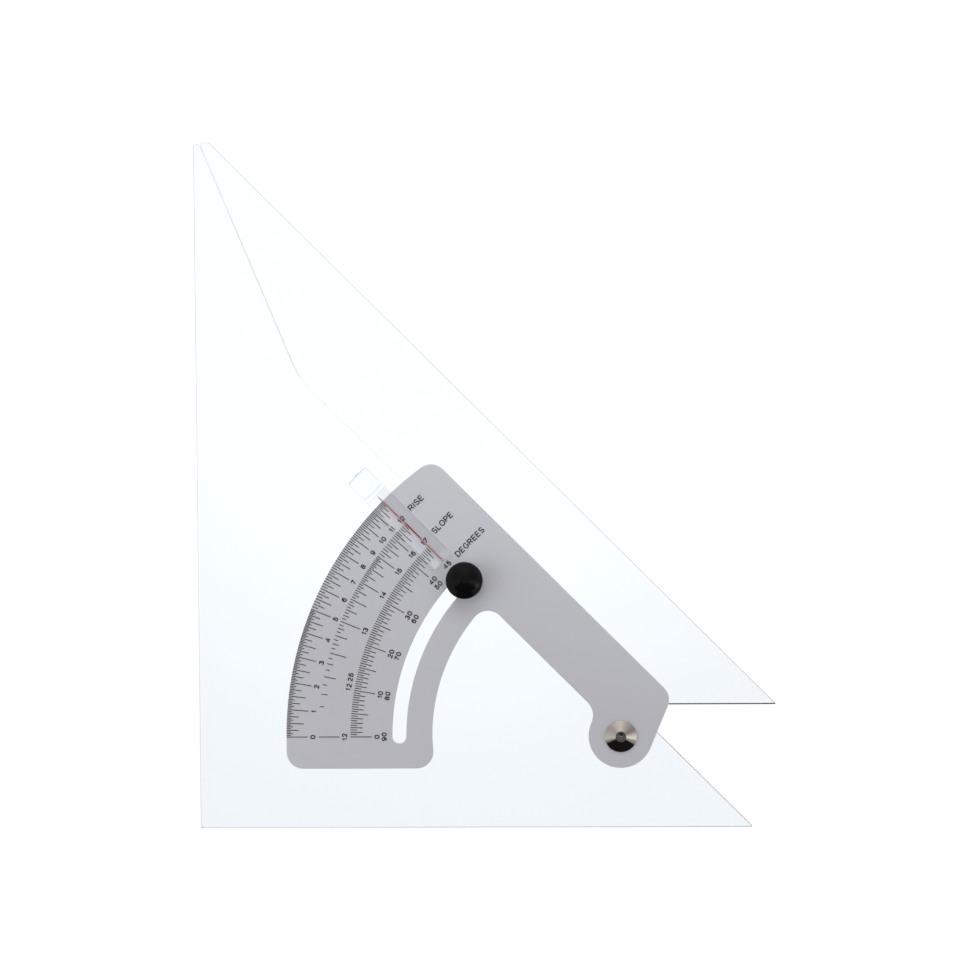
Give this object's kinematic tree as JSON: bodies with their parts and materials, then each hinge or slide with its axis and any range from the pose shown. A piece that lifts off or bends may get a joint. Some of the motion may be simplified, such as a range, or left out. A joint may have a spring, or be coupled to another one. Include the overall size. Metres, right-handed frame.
{
  "type": "adjustable set square",
  "caption": "Adjustable set square: clear base and swinging arm blades, a graduated arc plate with a clamp knob, and a clear cursor that reads rise, slope and degrees.",
  "frame": {"origin": "the right-angle corner of the base blade, on the underside, where the lower and left ruling edges meet", "axes": "+X along the lower ruling edge, +Y up the left ruling edge, +Z from the table up towards the reader"},
  "size_m": [0.2157, 0.2565, 0.0127],
  "materials": {
    "clear_acrylic": "clear polished acrylic sheet",
    "grey_plate": "satin grey translucent plastic",
    "ink": "dark printing ink",
    "clear_cursor": "clear moulded plastic",
    "red_line": "red filling",
    "nickel": "turned nickel-plated metal",
    "brass": "plain turned brass",
    "steel": "plain steel",
    "black_knob": "glossy black moulded plastic"
  },
  "bodies": {
    "base": {"base_blade": "clear_acrylic", "cursor": "clear_cursor", "hairline": "red_line", "pivot_rivet": "nickel", "pivot_bush": "brass", "pivot_cap": "nickel", "lock_stud": "steel", "guide_bush": "brass"},
    "arm": {"arm_blade": "clear_acrylic", "scale_plate": "grey_plate", "rise_marks": "ink", "slope_marks": "ink", "degree_marks": "ink"},
    "press": {"clamp_washer": "steel"},
    "knob": {"lock_knob": "black_knob", "knob_insert": "brass"}
  },
  "joints": [
    {"name": "arm_swing", "type": "hinge", "parent": "base", "child": "arm", "pos_m": [0.15784, 0.03462, 0], "axis": [0, 0, -1], "range_deg": [0, 45]},
    {"name": "clamp_lift", "type": "slide", "parent": "base", "child": "press", "axis": [0, 0, 1], "range_m": [0, 0.0007]},
    {"name": "knob_turn", "type": "hinge", "parent": "press", "child": "knob", "pos_m": [0.0998, 0.09368, 0], "axis": [0, 0, 1], "range_deg": [0, 360]}
  ],
  "couplings": [
    {"joint": "knob_turn", "follows": "clamp_lift", "rad_per_m": 8975.9}
  ]
}
